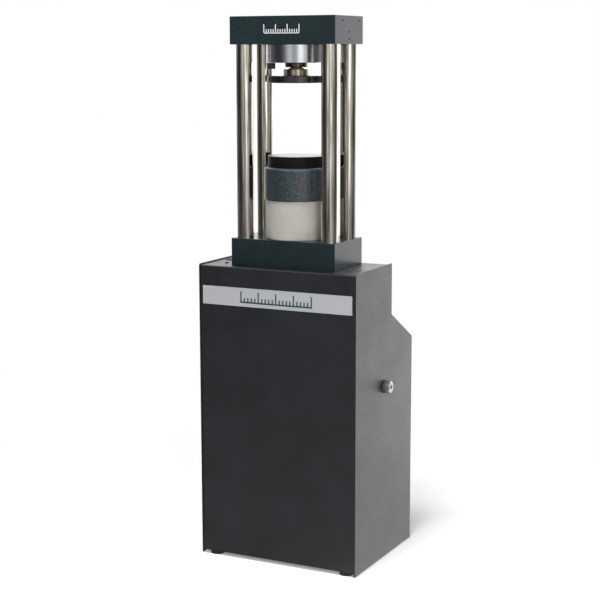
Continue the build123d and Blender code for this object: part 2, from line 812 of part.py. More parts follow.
seat_holder_screws = socket_screws(
    seat_spots,
    seat_thread,
    block_height - seat_head_depth + seat_grip - head_sink,
    under(top_top - seat_head_depth),
)
seat_holder_screws.label = "seat_holder_screws"
export_step(seat_holder_screws, "parts/seat_holder_screws.step")

# Spherical liner between the holder and the ball; both of its faces have the ball's centre.
with BuildPart() as seat_liner:
    with Locations(ball_centre):
        Sphere(liner_radius)
        Sphere(ball_radius + fit, mode=Mode.SUBTRACT)
    split(bisect_by=Plane(ball_centre).offset(-liner_lip), keep=Keep.TOP)
seat_liner.part.label = "seat_liner"
export_step(seat_liner.part, "parts/seat_liner.step")

# Ring nut that keeps the ball in its seat.
with BuildPart() as ball_retaining_nut:
    with BuildSketch(level(nut_bottom)):
        Circle(nut_diameter / 2)
    extrude(amount=nut_height)
    chamfer(ball_retaining_nut.edges().filter_by(GeomType.CIRCLE), length=platen_edge)
    with BuildSketch(level(seat_bottom)):
        Circle(nut_thread_diameter / 2)
    extrude(amount=nut_thread_height)
    with BuildSketch(level(nut_bottom)):
        Circle(nut_bore / 2)
    extrude(amount=nut_height + nut_thread_height, mode=Mode.SUBTRACT)
    with Locations(ball_centre):
        Sphere(ball_radius + nut_relief, mode=Mode.SUBTRACT)
ball_retaining_nut.part.label = "ball_retaining_nut"
export_step(ball_retaining_nut.part, "parts/ball_retaining_nut.step")

# Ball stud: ball, stem with a flared foot, and a spigot that the hub turns on.
keeper_seat = hub_top - stem_spigot_length
with BuildPart() as ball_stud:
    with Locations(ball_centre):
        Sphere(ball_radius)
    with BuildSketch(level(nut_bottom)):
        Circle(stem_diameter / 2)
    extrude(amount=ball_z - nut_bottom)
    with BuildSketch(load_section):
        with BuildLine():
            Polyline(
                (0, nut_bottom),
                (stem_diameter / 2, nut_bottom),
                (stem_foot_diameter / 2, hub_top),
                (stem_spigot_diameter / 2, hub_top),
                (stem_spigot_diameter / 2, keeper_seat),
                (0, keeper_seat),
                close=True,
            )
        make_face()
    revolve(axis=load_axis)
    with Locations(under(keeper_seat)):
        Hole(keeper_thread / 2 + fit, depth=keeper_length + head_sink)
ball_stud.part.label = "ball_stud"
export_step(ball_stud.part, "parts/ball_stud.step")

# Broad-headed screw in the stud's end, on which the hub hangs.
with BuildPart() as stud_keeper_screw:
    with BuildSketch(level(keeper_seat)):
        Circle(keeper_diameter / 2)
    extrude(amount=-keeper_head)
    with BuildSketch(level(keeper_seat)):
        Circle(keeper_thread / 2)
    extrude(amount=keeper_length)
    with BuildSketch(level(keeper_seat - keeper_head)):
        RegularPolygon(keeper_thread * key_ratio / 2, 6, major_radius=False)
    extrude(amount=keeper_head * socket_ratio, mode=Mode.SUBTRACT)
stud_keeper_screw.part.label = "stud_keeper_screw"
export_step(stud_keeper_screw.part, "parts/stud_keeper_screw.step")

# Hub between the stud and the upper platen.
hub_head_depth = hub_thread + head_sink / 2
with BuildPart() as platen_hub:
    with BuildSketch(level(hub_bottom)):
        Circle(hub_diameter / 2)
    extrude(amount=hub_height)
    chamfer(platen_hub.edges().filter_by(GeomType.CIRCLE), length=platen_edge)
    with Locations(level(hub_top)):
        Hole(stem_spigot_diameter / 2 + fit)
        with Locations(*hub_spots):
            CounterBoreHole(hub_thread / 2 + hole_play, hub_thread * head_ratio / 2 + fit, hub_head_depth)
    with Locations(under(hub_bottom)):
        Hole(hub_pocket_diameter / 2, depth=keeper_seat - hub_bottom + fit)
platen_hub.part.label = "platen_hub"
export_step(platen_hub.part, "parts/platen_hub.step")

# Upper platen.
with BuildPart() as upper_platen:
    with BuildSketch(level(upper_face)):
        Circle(upper_platen_diameter / 2)
    extrude(amount=upper_platen_height)
    chamfer(upper_platen.edges(), length=platen_edge)
    with Locations(level(hub_bottom)):
        with Locations(*hub_spots):
            Hole(hub_thread / 2 + fit, depth=hub_grip)
upper_platen.part.label = "upper_platen"
export_step(upper_platen.part, "parts/upper_platen.step")

hub_screws = socket_screws(
    hub_spots, hub_thread, hub_height - hub_head_depth + hub_grip - head_sink, under(hub_top - hub_head_depth)
)
hub_screws.label = "hub_screws"
export_step(hub_screws, "parts/hub_screws.step")

# Stop screw that hangs beside the nut and limits how far the platen can swing.
with BuildPart() as stop_screw:
    with BuildSketch(level(seat_bottom)):
        with Locations((stop_x, stop_y)):
            Circle(stop_head_diameter / 2)
    extrude(amount=-stop_head_height)
    chamfer(stop_screw.edges().sort_by(Axis.Z)[0], length=platen_edge)
    with BuildSketch(level(seat_bottom)):
        with Locations((stop_x, stop_y)):
            Circle(stop_thread / 2)
    extrude(amount=stop_grip - head_sink)
    with BuildSketch(level(seat_bottom - stop_head_height)):
        with Locations((stop_x, stop_y)):
            RegularPolygon(stop_thread * key_ratio / 2, 6, major_radius=False)
    extrude(amount=stop_thread * socket_ratio, mode=Mode.SUBTRACT)
stop_screw.part.label = "stop_screw"
export_step(stop_screw.part, "parts/stop_screw.step")

# Dark ring under the inlet's hexagon, outside the right panel.
with BuildPart() as inlet_washer:
    with BuildSketch(port_axis_plane):
        Circle(port_washer_diameter / 2)
        Circle(port_shank / 2 + fit, mode=Mode.SUBTRACT)
    extrude(amount=port_washer_height)
    chamfer(inlet_washer.edges().sort_by(Axis.X)[-2:], length=platen_edge)
inlet_washer.part.label = "inlet_washer"
export_step(inlet_washer.part, "parts/inlet_washer.step")

# Turned bar that the inlet's hexagon is milled from. It rounds the corners and bevels the outer end.
with BuildPart() as inlet_bar:
    with BuildSketch(port_axis_plane.offset(port_washer_height)):
        Circle(port_corner / 2)
    extrude(amount=port_head)
    chamfer(inlet_bar.edges().sort_by(Axis.X)[-1], length=port_bevel)

# Hydraulic inlet through the right panel, with one flat of its hexagon to the front.
with BuildPart() as inlet_fitting:
    with BuildSketch(port_axis_plane.offset(port_washer_height)):
        RegularPolygon(port_hex / 2, 6, major_radius=False, rotation=30)
    extrude(amount=port_head)
    add(inlet_bar.part, mode=Mode.INTERSECT)
    with BuildSketch(port_axis_plane.offset(port_washer_height + port_head)):
        Circle(port_ring_diameter / 2)
    extrude(amount=port_ring_height)
    with BuildSketch(port_axis_plane.offset(port_washer_height)):
        Circle(port_shank / 2)
    extrude(amount=port_inner - port_face - port_washer_height)
    with Locations(port_axis_plane.offset(port_washer_height + port_head + port_ring_height)):
        Hole(port_socket / 2, depth=port_socket_depth)
        Hole(oil_way / 2)
inlet_fitting.part.label = "inlet_fitting"
export_step(inlet_fitting.part, "parts/inlet_fitting.step")

# Nut that clamps the inlet from inside the panel.
with BuildPart() as inlet_nut:
    with BuildSketch(port_axis_plane.offset(-side_sheet)):
        RegularPolygon(port_hex / 2, 6, major_radius=False)
        Circle(port_shank / 2 + fit, mode=Mode.SUBTRACT)
    extrude(amount=-port_nut_height)
inlet_nut.part.label = "inlet_nut"
export_step(inlet_nut.part, "parts/inlet_nut.step")

# Adapter screwed up into the cylinder's floor and reaching below the support plate.
with BuildPart() as ram_port_adapter:
    with BuildSketch(level(adapter_top)):
        Circle(adapter_thread / 2)
    extrude(amount=adapter_grip)
    with BuildSketch(level(adapter_top)):
        RegularPolygon(adapter_hex / 2, 6, major_radius=False)
    extrude(amount=-adapter_hex_height)
    with BuildSketch(level(adapter_top)):
        Circle(adapter_tube / 2)
    extrude(amount=adapter_bottom - adapter_top)
    with Locations(level(adapter_top + adapter_grip)):
        Hole(oil_way / 2)
ram_port_adapter.part.label = "ram_port_adapter"
export_step(ram_port_adapter.part, "parts/ram_port_adapter.step")

# Crimped hose ends: a hexagon nut and a ferrule at the ram and at the inlet.
with BuildPart() as hose_ends:
    with BuildSketch(under(adapter_bottom), port_inner_plane.rotated((0, 180, 0))):
        RegularPolygon(hose_nut_hex / 2, 6, major_radius=False)
    extrude(amount=hose_nut_length)
    with BuildSketch(under(adapter_bottom), port_inner_plane.rotated((0, 180, 0))):
        Circle(ferrule_diameter / 2)
    extrude(amount=hose_nut_length + ferrule_length)
hose_ends.part.label = "hose_ends"
export_step(hose_ends.part, "parts/hose_ends.step")

# Hydraulic hose inside the cabinet, from the ram down to the inlet.
end_length = hose_nut_length + ferrule_length
hose_start = Vector(mid_x, load_y, adapter_bottom - end_length)
hose_finish = Vector(port_inner - end_length, front_y + port_y, port_z)
hose_upper = hose_start - Vector(0, 0, hose_drop)
hose_lower = hose_finish - Vector(hose_lead, 0, 0)
hose_points = [hose_start, hose_upper, (hose_upper + hose_lower) * 0.5 + hose_bow, hose_lower, hose_finish]
hose_runs = [b - a for a, b in zip(hose_points, hose_points[1:])]
hose_radii = [
    0.45 * min(a.length, b.length) / tan(radians(a.get_angle(b) / 2))
    for a, b in zip(hose_runs, hose_runs[1:])
]
print("hose bend radii", [round(r, 1) for r in hose_radii])
with BuildPart() as hydraulic_hose:
    with BuildLine() as hose_route:
        FilletPolyline(*hose_points, radius=hose_radii)
    with BuildSketch(Plane(hose_start, z_dir=(0, 0, -1))):
        Circle(hose_diameter / 2)
    sweep(path=hose_route.line)
hydraulic_hose.part.label = "hydraulic_hose"
export_step(hydraulic_hose.part, "parts/hydraulic_hose.step")
print("hose length", round(sum(edge.length for edge in hose_route.edges()), 1))
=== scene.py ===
import bpy
import json
from math import cos, radians, sin
from mathutils import Matrix, Vector


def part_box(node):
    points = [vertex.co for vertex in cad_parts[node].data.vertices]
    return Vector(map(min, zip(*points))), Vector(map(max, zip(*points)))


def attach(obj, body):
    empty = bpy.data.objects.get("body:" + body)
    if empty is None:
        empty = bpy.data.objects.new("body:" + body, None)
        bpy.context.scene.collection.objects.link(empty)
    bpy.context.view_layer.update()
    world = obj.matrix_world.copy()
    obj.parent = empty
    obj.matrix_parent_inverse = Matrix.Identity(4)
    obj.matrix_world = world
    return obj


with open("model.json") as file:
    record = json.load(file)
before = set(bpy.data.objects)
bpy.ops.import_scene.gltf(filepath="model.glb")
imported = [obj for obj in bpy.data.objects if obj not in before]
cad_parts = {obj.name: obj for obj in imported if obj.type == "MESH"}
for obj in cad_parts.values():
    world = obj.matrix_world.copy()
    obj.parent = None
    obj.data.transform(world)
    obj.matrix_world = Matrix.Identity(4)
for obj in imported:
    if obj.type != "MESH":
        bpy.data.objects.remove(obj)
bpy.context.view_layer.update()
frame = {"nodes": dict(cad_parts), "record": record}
nodes = frame["nodes"]
scene = bpy.context.scene
scene.view_settings.view_transform = "Standard"
mm = 0.001
print("frame loaded:", len(nodes), "CAD nodes")


def linear(hexColour):
    # an sRGB hex value as the linear colour that a shader takes
    channels = [int(hexColour[i:i + 2], 16) / 255 for i in (1, 3, 5)]
    return [c / 12.92 if c <= 0.04045 else ((c + 0.055) / 1.055) ** 2.4 for c in channels] + [1.0]


def addNode(tree, kind, inputs=None, **settings):
    # one node with its settings; an input is a value, or the socket that feeds it
    node = tree.nodes.new(kind)
    for name, value in settings.items():
        setattr(node, name, value)
    for name, value in (inputs or {}).items():
        if isinstance(value, bpy.types.NodeSocket):
            tree.links.new(value, node.inputs[name])
        else:
            node.inputs[name].default_value = value
    return node


def newMaterial(name):
    material = bpy.data.materials.new(name)
    material.use_nodes = True
    material.node_tree.nodes.clear()
    return material, material.node_tree


# The camera stands to the front right, nearly as high as the top block, and looks a little down.
cameraView = {
    "place": (1.5623, -3.1435, 1.2012),  # metres
    "turn": 26.84,  # degrees, as are the next two
    "down": 9.43,
    "roll": -0.11,
    "lens": 88.42,  # millimetres, as is the sensor's width
    "sensor": 36.0,
    "clipEnd": 100.0,
}


def addCamera():
    data = bpy.data.cameras.new("camera")
    data.lens = cameraView["lens"]
    data.sensor_width = cameraView["sensor"]
    data.sensor_fit = "HORIZONTAL"
    data.clip_end = cameraView["clipEnd"]
    camera = bpy.data.objects.new("camera", data)
    scene.collection.objects.link(camera)
    turn = Matrix.Rotation(radians(cameraView["turn"]), 4, "Z")
    tilt = Matrix.Rotation(radians(90 - cameraView["down"]), 4, "X")
    roll = Matrix.Rotation(radians(cameraView["roll"]), 4, "Z")
    camera.matrix_world = Matrix.Translation(cameraView["place"]) @ turn @ tilt @ roll
    scene.camera = camera


addCamera()
print("camera placed")

# White studio: a paper floor that fades into the white world between two distances from the origin. Metres.
floorSettings = {
    "half": 30.0,
    "colour": "#f2f2f2",
    "glow": 0.20,  # light of its own, so the paper stays pale where the lamps reach it least
    "mirrored": 1.6,  # its brightness where gloss and metal mirror it
    "fadeStart": 0.8,
    "fadeEnd": 1.3,
}


def addFloor():
    half = floorSettings["half"]
    corners = [(-half, -half, 0), (half, -half, 0), (half, half, 0), (-half, half, 0)]
    mesh = bpy.data.meshes.new("floor")
    mesh.from_pydata(corners, [], [(0, 1, 2, 3)])
    floor = bpy.data.objects.new("floor", mesh)
    scene.collection.objects.link(floor)
    material, tree = newMaterial("matt white paper")
    lit = addNode(tree, "ShaderNodeBsdfDiffuse", {"Color": linear(floorSettings["colour"])})
    glow = addNode(tree, "ShaderNodeEmission", {"Strength": floorSettings["glow"]})
    near = addNode(tree, "ShaderNodeAddShader", {0: lit.outputs[0], 1: glow.outputs[0]})
    path = addNode(tree, "ShaderNodeLightPath")
    gloss = path.outputs["Is Glossy Ray"]
    mirrored = {"Value": gloss, "To Min": 1.0, "To Max": floorSettings["mirrored"]}
    whiteLevel = addNode(tree, "ShaderNodeMapRange", mirrored)
    white = addNode(tree, "ShaderNodeEmission", {"Strength": whiteLevel.outputs[0]})
    place = addNode(tree, "ShaderNodeTexCoord")
    distance = addNode(tree, "ShaderNodeVectorMath", {0: place.outputs["Object"]}, operation="LENGTH")
    reach = {"From Min": floorSettings["fadeStart"], "From Max": floorSettings["fadeEnd"]}
    reach["Value"] = distance.outputs["Value"]
    fade = addNode(tree, "ShaderNodeMapRange", reach, interpolation_type="SMOOTHSTEP")
    toCamera = {0: path.outputs["Is Camera Ray"], 1: fade.outputs[0]}
    seen = addNode(tree, "ShaderNodeMath", toCamera, operation="MULTIPLY")
    far = addNode(tree, "ShaderNodeMath", {0: seen.outputs[0], 1: gloss}, operation="MAXIMUM")
    both = addNode(tree, "ShaderNodeMixShader", {0: far.outputs[0], 1: near.outputs[0], 2: white.outputs[0]})
    addNode(tree, "ShaderNodeOutputMaterial", {"Surface": both.outputs[0]})
    mesh.materials.append(material)


# Round studio flats that only reflections see: soft boxes in front, dark gaps beside them, white behind.
# Each strip is (degrees to the right of the camera's line, brightness low down, brightness higher up), and
# each row of the profile is (radius, height, share of the higher brightness, brightness added, share of the
# raised light). The raised light stands between the two angles of raisedSector. Between those of nearSector
# the first row runs in to the nearer radius. It stands as high as the second, so it makes a dark sheet flat
# over the floor. Lengths are in metres.
studioFlats = {
    "profile": [
        (0.90, 0.002, 0.0, 0.38, 0.0), (0.90, 0.002, 0.0, 0.34, 0.0), (1.60, 0.25, 0.0, 0.18, 0.0),
        (2.05, 0.58, 0.1, 0.0, 0.0), (2.15, 0.80, 0.6, 0.0, 0.0), (2.25, 1.05, 1.0, 0.0, 0.0),
        (2.30, 1.32, 1.0, 0.0, 0.0), (2.32, 1.60, 1.0, 0.2, 0.0), (2.32, 1.95, 0.6, 0.2, 0.0),
        (2.32, 2.05, 0.6, 0.2, 1.0), (2.30, 3.80, 0.6, 0.2, 1.0), (2.20, 3.90, 0.3, 0.4, 0.0),
        (0.02, 4.65, 0.0, 0.8, 0.0),
    ],
    "raisedLight": 2.4,
    "raisedSector": (-75, 60),
    "nearSector": (-140, 25),
    "nearRadius": 0.10,
    "strips": [
        (-180, 1.8, 1.8), (-160, 1.6, 1.6), (-145, 0.8, 1.0), (-130, 0.3, 0.4), (-113, 0.15, 0.20),
        (-95, 0.12, 0.10), (-78, 0.06, 0.04), (-60, 0.05, 0.04), (-45, 0.05, 0.18), (-34, 0.10, 0.62),
        (-24, 0.12, 0.95), (-14, 0.12, 0.55), (-5, 0.13, 0.50), (3, 0.22, 0.85), (11, 0.42, 1.80),
        (20, 0.42, 1.70), (29, 0.34, 1.00), (38, 0.28, 0.72), (50, 0.18, 0.50), (62, 0.12, 0.22),
        (75, 0.10, 0.10), (85, 0.16, 0.12), (95, 0.45, 0.20), (105, 1.00, 0.70), (115, 1.60, 1.40),
        (124, 2.00, 1.95), (137, 2.25, 2.15), (160, 2.10, 2.00), (180, 1.8, 1.8),
    ],
    "step": 3,
}


def addStudioFlats():
    cameraLine = radians(cameraView["turn"] - 90)
    strips = studioFlats["strips"]
    profile = studioFlats["profile"]
    corners = []
    levels = []
    for degrees in range(-180, 180, studioFlats["step"]):
        for (start, *before), (end, *after) in zip(strips, strips[1:]):
            if start <= degrees < end:
                pairs = zip(before, after)
                low, high = [x + (y - x) * (degrees - start) / (end - start) for x, y in pairs]
        angle = cameraLine + radians(degrees)
        near = studioFlats["nearSector"][0] <= degrees <= studioFlats["nearSector"][1]
        raised = studioFlats["raisedSector"][0] <= degrees <= studioFlats["raisedSector"][1]
        light = studioFlats["raisedLight"] if raised else 0.0
        radii = [studioFlats["nearRadius"] if near else profile[0][0]] + [row[0] for row in profile[1:]]
        for radius, (_, height, share, added, raisedShare) in zip(radii, profile):
            corners.append((radius * cos(angle), radius * sin(angle), height))
            levels.append(low + (high - low) * share + added + light * raisedShare)
    rows = len(profile)
    count = len(corners)
    faces = [
        (i + j, i + j + 1, (i + j + rows + 1) % count, (i + j + rows) % count)
        for i in range(0, count, rows)
        for j in range(rows - 1)
    ]
    mesh = bpy.data.meshes.new("studioFlats")
    mesh.from_pydata(corners, [], faces)
    mesh.attributes.new("level", "FLOAT", "POINT").data.foreach_set("value", levels)
    flats = bpy.data.objects.new("studioFlats", mesh)
    scene.collection.objects.link(flats)
    material, tree = newMaterial("lit studio flats")
    level = addNode(tree, "ShaderNodeAttribute", attribute_name="level")
    glow = addNode(tree, "ShaderNodeEmission", {"Strength": level.outputs["Fac"]})
    addNode(tree, "ShaderNodeOutputMaterial", {"Surface": glow.outputs[0]})
    mesh.materials.append(material)
    for ray in ("camera", "diffuse", "transmission", "volume_scatter", "shadow"):
        setattr(flats, "visible_" + ray, False)


# Lamps: (place and aim in metres, size in metres, power in watts, colour).
lampList = {
    "overheadKey": ((0.00, -3.00, 7.60), (0.0, 0.0, 0.6), 2.4, 600.0, "#ffffff"),
    "frontFill": ((3.70, -4.00, 2.70), (0.0, 0.0, 0.8), 2.0, 220.0, "#ffffff"),
}
worldLevel = 0.14  # how much the white room itself lights matt surfaces


def addLamps():
    for name, (place, aim, size, power, colour) in lampList.items():
        data = bpy.data.lights.new(name, "AREA")
        data.size = size
        data.energy = power
        data.color = linear(colour)[:3]
        lamp = bpy.data.objects.new(name, data)
        scene.collection.objects.link(lamp)
        aimed = (Vector(aim) - Vector(place)).to_track_quat("-Z", "Y").to_matrix().to_4x4()
        lamp.matrix_world = Matrix.Translation(place) @ aimed
        lamp.visible_glossy = False
        lamp.visible_camera = False


def lightWorld():
    # white for the camera, for mirrors and through glass, and dim for the light that it gives
    world = bpy.data.worlds.new("white studio")
    scene.world = world
    world.use_nodes = True
    tree = world.node_tree
    tree.nodes.clear()
    rays = addNode(tree, "ShaderNodeLightPath").outputs
    seen = {0: rays["Is Camera Ray"], 1: rays["Is Glossy Ray"]}
    direct = addNode(tree, "ShaderNodeMath", seen, operation="MAXIMUM")
    through = {0: direct.outputs[0], 1: rays["Is Transmission Ray"]}
    clear = addNode(tree, "ShaderNodeMath", through, operation="MAXIMUM")
    levels = {"Value": clear.outputs[0], "To Min": worldLevel, "To Max": 1.0}
    level = addNode(tree, "ShaderNodeMapRange", levels)
    look = {"Color": linear("#ffffff"), "Strength": level.outputs[0]}
    light = addNode(tree, "ShaderNodeBackground", look)
    addNode(tree, "ShaderNodeOutputWorld", {"Surface": light.outputs[0]})


addFloor()
addStudioFlats()
addLamps()
lightWorld()
print("studio lit")

# Most of a noise pattern's values lie between these two.
noiseReach = {"From Min": 0.35, "From Max": 0.65}


def addGrain(tree, size, stretch=(1, 1, 1), detail=2.0):
    # noise on object coordinates, its grains this many millimetres across, and drawn out by stretch
    place = addNode(tree, "ShaderNodeTexCoord")
    scales = [1 / (size * mm * s) for s in stretch]
    mapping = addNode(tree, "ShaderNodeMapping", {"Vector": place.outputs["Object"], "Scale": scales})
    look = {"Vector": mapping.outputs[0], "Scale": 1.0, "Detail": detail}
    return addNode(tree, "ShaderNodeTexNoise", look).outputs[0]


def toneAndRoughness(tree, pattern, settings):
    # the colour and the roughness follow one pattern between the finish's two tones
    share = addNode(tree, "ShaderNodeMapRange", {"Value": pattern, **noiseReach})
    # 6 and 7 are the two colours that the Mix node blends
    tones = {"Factor": share.outputs[0], 6: linear(settings["dark"]), 7: linear(settings["light"])}
    colour = addNode(tree, "ShaderNodeMix", tones, data_type="RGBA")
    low, high = settings["roughness"]
    levels = {"Value": share.outputs[0], "To Min": low, "To Max": high}
    rough = addNode(tree, "ShaderNodeMapRange", levels)
    return {"Base Color": colour.outputs[2], "Roughness": rough.outputs[0]}


# Grain and relief are in millimetres. One pixel of the photo's view is about 2.4 mm across, so the pebbled
# grain of about a millimetre that such paints have is drawn three times as coarse, or it wouldn't show.
powderCoats = {
    # Sheet steel, sprayed and baked: nearly black in itself, grey where it faces the light at a flat angle.
    # The relief is many times the real one, because less than this doesn't show at this size.
    "cabinet_steel": {
        "name": "powder coated steel, charcoal", "dark": "#05070b", "light": "#11141a",
        "grain": 3.4, "relief": 0.9, "roughness": (0.38, 0.46), "ior": 1.62,
    },
    # The same coat on machined blocks, smoother and a little green.
    "block_paint": {
        "name": "powder coated steel, petrol", "dark": "#151f22", "light": "#1a2528",
        "grain": 3.0, "relief": 0.03, "roughness": (0.22, 0.30), "ior": 1.38,
    },
    # Sprayed enamel: pale, even and only a little glossy.
    "cylinder_paint": {
        "name": "satin enamel, light grey", "dark": "#87867f", "light": "#9a9892",
        "grain": 3.4, "relief": 0.03, "roughness": (0.42, 0.52), "ior": 1.5,
    },
}
slowPatches = 90  # millimetres across, for the uneven thickness of a sprayed coat


def makePowderCoat(settings):
    # The relief breaks the gloss up, and the slow patches keep a large sheet from looking flat.
    material, tree = newMaterial(settings["name"])
    grain = addGrain(tree, settings["grain"], detail=3.0)
    patches = addGrain(tree, slowPatches, detail=3.0)
    both = addNode(tree, "ShaderNodeMath", {0: grain, 1: patches}, operation="ADD")
    half = addNode(tree, "ShaderNodeMath", {0: both.outputs[0], 1: 0.5}, operation="MULTIPLY")
    bumps = {"Height": grain, "Strength": 1.0, "Distance": settings["relief"] * mm}
    relief = addNode(tree, "ShaderNodeBump", bumps)
    skin = toneAndRoughness(tree, half.outputs[0], settings)
    look = {**skin, "IOR": settings["ior"], "Normal": relief.outputs[0]}
    shader = addNode(tree, "ShaderNodeBsdfPrincipled", look)
    addNode(tree, "ShaderNodeOutputMaterial", {"Surface": shader.outputs[0]})
    return material


# Grain and relief are in millimetres. Stretch draws the grain out into lines: upright on the columns, the
# inner frame and the ring nut, level on the other turned pieces. The real marks of a tool or a grinding wheel
# are a tenth of a millimetre apart or less and can't show, so all these lines are coarser.
turnedMetals = {
    # Ground rod, hard chromed: mirrors the room in tall streaks, a little warm.
    "column_chrome": {
        "name": "ground hard chrome", "light": "#ece7de", "dark": "#8f877a", "metallic": 1.0,
        "roughness": (0.13, 0.07), "grain": 3.4, "stretch": (1, 1, 36), "relief": 0.006,
    },
    # Turned and polished: cooler than the chrome, its streaks broader and softer.
    "polished_steel": {
        "name": "polished tool steel", "light": "#c2c5cb", "dark": "#b6b9bf", "metallic": 1.0,
        "roughness": (0.20, 0.14), "grain": 0.8, "stretch": (30, 30, 1), "relief": 0.001,
    },
    # Left as turned: bright, and a little yellow from a thin film of oil.
    "turned_steel": {
        "name": "turned steel", "light": "#b3a996", "dark": "#857c6b", "metallic": 1.0,
        "roughness": (0.18, 0.12), "grain": 0.5, "stretch": (20, 20, 1), "relief": 0.002,
    },
    # Cast and turned: brown gold.
    "bronze": {
        "name": "bearing bronze", "light": "#b08a52", "dark": "#94713f", "metallic": 1.0,
        "roughness": (0.3, 0.2), "grain": 0.6, "stretch": (20, 20, 1), "relief": 0.005,
    },
    # Plated and gone dull: a thin film of tarnish scatters some light, so it isn't quite all metal.
    "nickel_fitting": {
        "name": "nickel plated brass", "light": "#b9bab2", "dark": "#96968c", "metallic": 0.85,
        "roughness": (0.42, 0.32), "grain": 2.0, "stretch": (1, 1, 1), "relief": 0.006,
    },
    # Electroplated: grey, and slightly cloudy.
    "zinc_steel": {
        "name": "zinc plated steel", "light": "#9a9da0", "dark": "#7e8184", "metallic": 1.0,
        "roughness": (0.4, 0.25), "grain": 1.2, "stretch": (1, 1, 1), "relief": 0.006,
    },
    # As it left the rolling mill: dull grey, with faint lines.
    "inner_frame_steel": {
        "name": "mill finish steel", "light": "#77797b", "dark": "#5d5f60", "metallic": 1.0,
        "roughness": (0.55, 0.4), "grain": 3.0, "stretch": (1, 1, 12), "relief": 0.02,
    },
    # Turned, under grease: the pale film scatters the light and hides most of the metal.
    "greasedSteel": {
        "name": "greased ball steel", "light": "#cfc3ad", "dark": "#a99d88", "metallic": 0.35,
        "roughness": (0.4, 0.3), "grain": 1.0, "stretch": (12, 12, 1), "relief": 0.002,
    },
    # Turned, and dark with old oil: brown, with small sharp lights.
    "oiledSteel": {
        "name": "oiled turned steel", "light": "#665a46", "dark": "#3a3326", "metallic": 1.0,
        "roughness": (0.2, 0.12), "grain": 0.8, "stretch": (1, 1, 12), "relief": 0.004,
    },
}


def makeTurnedMetal(settings):
    # Fine lines pull the reflections into streaks.
    material, tree = newMaterial(settings["name"])
    lines = addGrain(tree, settings["grain"], settings["stretch"], detail=4.0)
    bumps = {"Height": lines, "Strength": 1.0, "Distance": settings["relief"] * mm}
    relief = addNode(tree, "ShaderNodeBump", bumps)
    skin = toneAndRoughness(tree, lines, settings)
    look = {**skin, "Metallic": settings["metallic"], "Normal": relief.outputs[0]}
    shader = addNode(tree, "ShaderNodeBsdfPrincipled", look)
    addNode(tree, "ShaderNodeOutputMaterial", {"Surface": shader.outputs[0]})
    return material


# Grain and relief are in millimetres, the grain drawn coarse enough to show.
darkFinishes = {
    # Steel with a hot black finish: black and smooth, with a faint gloss.
    "upper_platen_steel": {
        "name": "blackened steel", "dark": "#0a090a", "light": "#0c0b0d",
        "roughness": (0.25, 0.27), "grain": 4.0, "relief": 0.001, "ior": 1.62,
    },
    # Forged screws with a black oxide finish: dark grey, with an oily gloss in places.
    "black_screws": {
        "name": "black oxide screw steel", "dark": "#121314", "light": "#1c1e20",
        "roughness": (0.3, 0.45), "grain": 2.0, "relief": 0.010, "ior": 1.5,
    },
    # Turned from bar: a mottled satin blue grey. The relief is many times the real one, so that it shows.
    "collar_plastic": {
        "name": "turned grey nylon", "dark": "#161c20", "light": "#293238",
        "roughness": (0.28, 0.34), "grain": 4.6, "relief": 1.0, "ior": 1.68,
    },
    # Moulded: matt, and nearly without highlights.
    "rubber": {
        "name": "moulded black rubber", "dark": "#121212", "light": "#1a1918",
        "roughness": (0.6, 0.75), "grain": 1.5, "relief": 0.02, "ior": 1.5,
    },
    # Pressed from sheet: matt, a little lighter than the rubber.
    "fibreWasher": {
        "name": "pressed grey fibre", "dark": "#3a3837", "light": "#4a4746",
        "roughness": (0.55, 0.7), "grain": 1.5, "relief": 0.02, "ior": 1.5,
    },
}


def makeDarkFinish(settings):
    # A dark skin, mottled in patches of a few millimetres.
    material, tree = newMaterial(settings["name"])
    mottle = addGrain(tree, settings["grain"], detail=4.0)
    bumps = {"Height": mottle, "Strength": 1.0, "Distance": settings["relief"] * mm}
    relief = addNode(tree, "ShaderNodeBump", bumps)
    skin = toneAndRoughness(tree, mottle, settings)
    look = {**skin, "IOR": settings["ior"], "Normal": relief.outputs[0]}
    shader = addNode(tree, "ShaderNodeBsdfPrincipled", look)
    addNode(tree, "ShaderNodeOutputMaterial", {"Surface": shader.outputs[0]})
    return material


# Millimetres. The ground face reaches down by groundDepth from the platen's top.
lowerPlatenFinish = {
    "name": "blackened steel with a ground face",
    "skin": {"dark": "#0a0a0a", "light": "#101010", "roughness": (0.36, 0.46)},
    "skinGrain": 3.0,
    "specular": 0.1,
    "ground": {"dark": "#8a8883", "light": "#93918c", "roughness": (0.44, 0.36)},
    "groundGrain": 0.8,
    "groundStretch": (30, 1, 1),
    "groundDepth": 0.8,
}


